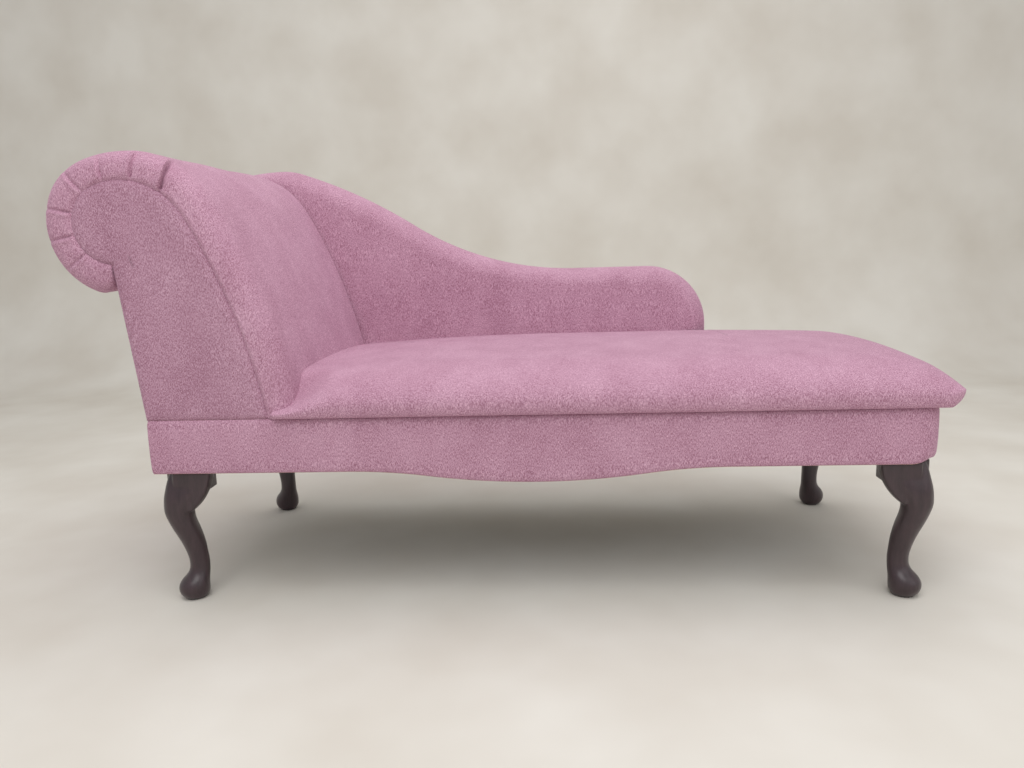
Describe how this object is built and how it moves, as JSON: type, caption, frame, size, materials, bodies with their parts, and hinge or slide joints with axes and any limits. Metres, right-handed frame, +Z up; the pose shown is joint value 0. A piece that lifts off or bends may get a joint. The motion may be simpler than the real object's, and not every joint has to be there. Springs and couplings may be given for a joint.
{
  "type": "chaise longue",
  "caption": "Upholstered fainting couch with a scrolled head end, a low swept back, a domed seat and cabriole legs.",
  "frame": {"origin": "centre of the bounding box at floor level", "axes": "+X from the scrolled head end to the foot end, +Y from the front to the rear with the low back, +Z up"},
  "size_m": [1.5714, 0.634, 0.8411],
  "materials": {
    "rose_chenille": "matte chenille pile",
    "dark_wood": "dark stain under satin lacquer",
    "plywood": "bare",
    "softwood": "bare",
    "foam": "open-cell foam",
    "webbing": "woven elastic",
    "black_cloth": "thin non-woven cloth",
    "steel": "zinc plated"
  },
  "bodies": {
    "root": {"back_board": "plywood", "back_lining": "plywood", "backrest_cover": "rose_chenille", "backrest_foam": "foam", "cross_rail_1": "softwood", "cross_rail_2": "softwood", "cross_rail_3": "softwood", "dust_cover": "black_cloth", "foot_corner_post_front": "softwood", "foot_corner_post_rear": "softwood", "foot_rail": "plywood", "foot_rail_cover": "rose_chenille", "frame_bolts": "steel", "front_foot_leg": "dark_wood", "front_head_leg": "dark_wood", "front_post_1": "softwood", "front_post_2": "softwood", "front_rail": "plywood", "front_rail_cover": "rose_chenille", "head_corner_block_front": "softwood", "head_corner_block_rear": "softwood", "head_cover": "rose_chenille", "head_facing": "rose_chenille", "head_foam": "foam", "head_front_panel": "plywood", "head_lining": "plywood", "head_lumbar_stretcher": "softwood", "head_nose_stretcher": "softwood", "head_outer_stretcher": "softwood", "head_rail": "plywood", "head_rail_cover": "rose_chenille", "head_rear_panel": "plywood", "head_seat_stretcher": "softwood", "head_shoulder_stretcher": "softwood", "head_top_stretcher": "softwood", "leg_bolts": "steel", "outside_head_cover": "rose_chenille", "rear_cover": "rose_chenille", "rear_foot_leg": "dark_wood", "rear_head_leg": "dark_wood", "rear_post_1": "softwood", "rear_post_2": "softwood", "rear_post_3": "softwood", "rear_post_4": "softwood", "rear_rail": "plywood", "rear_rail_cover": "rose_chenille", "seat_corner_batten": "softwood", "seat_cover": "rose_chenille", "seat_cross_batten_1": "softwood", "seat_cross_batten_2": "softwood", "seat_foam": "foam", "seat_foot_batten": "softwood", "seat_front_batten": "softwood", "seat_head_batten": "softwood", "seat_rear_batten": "softwood", "seat_webbing": "webbing"}
  },
  "joints": []
}
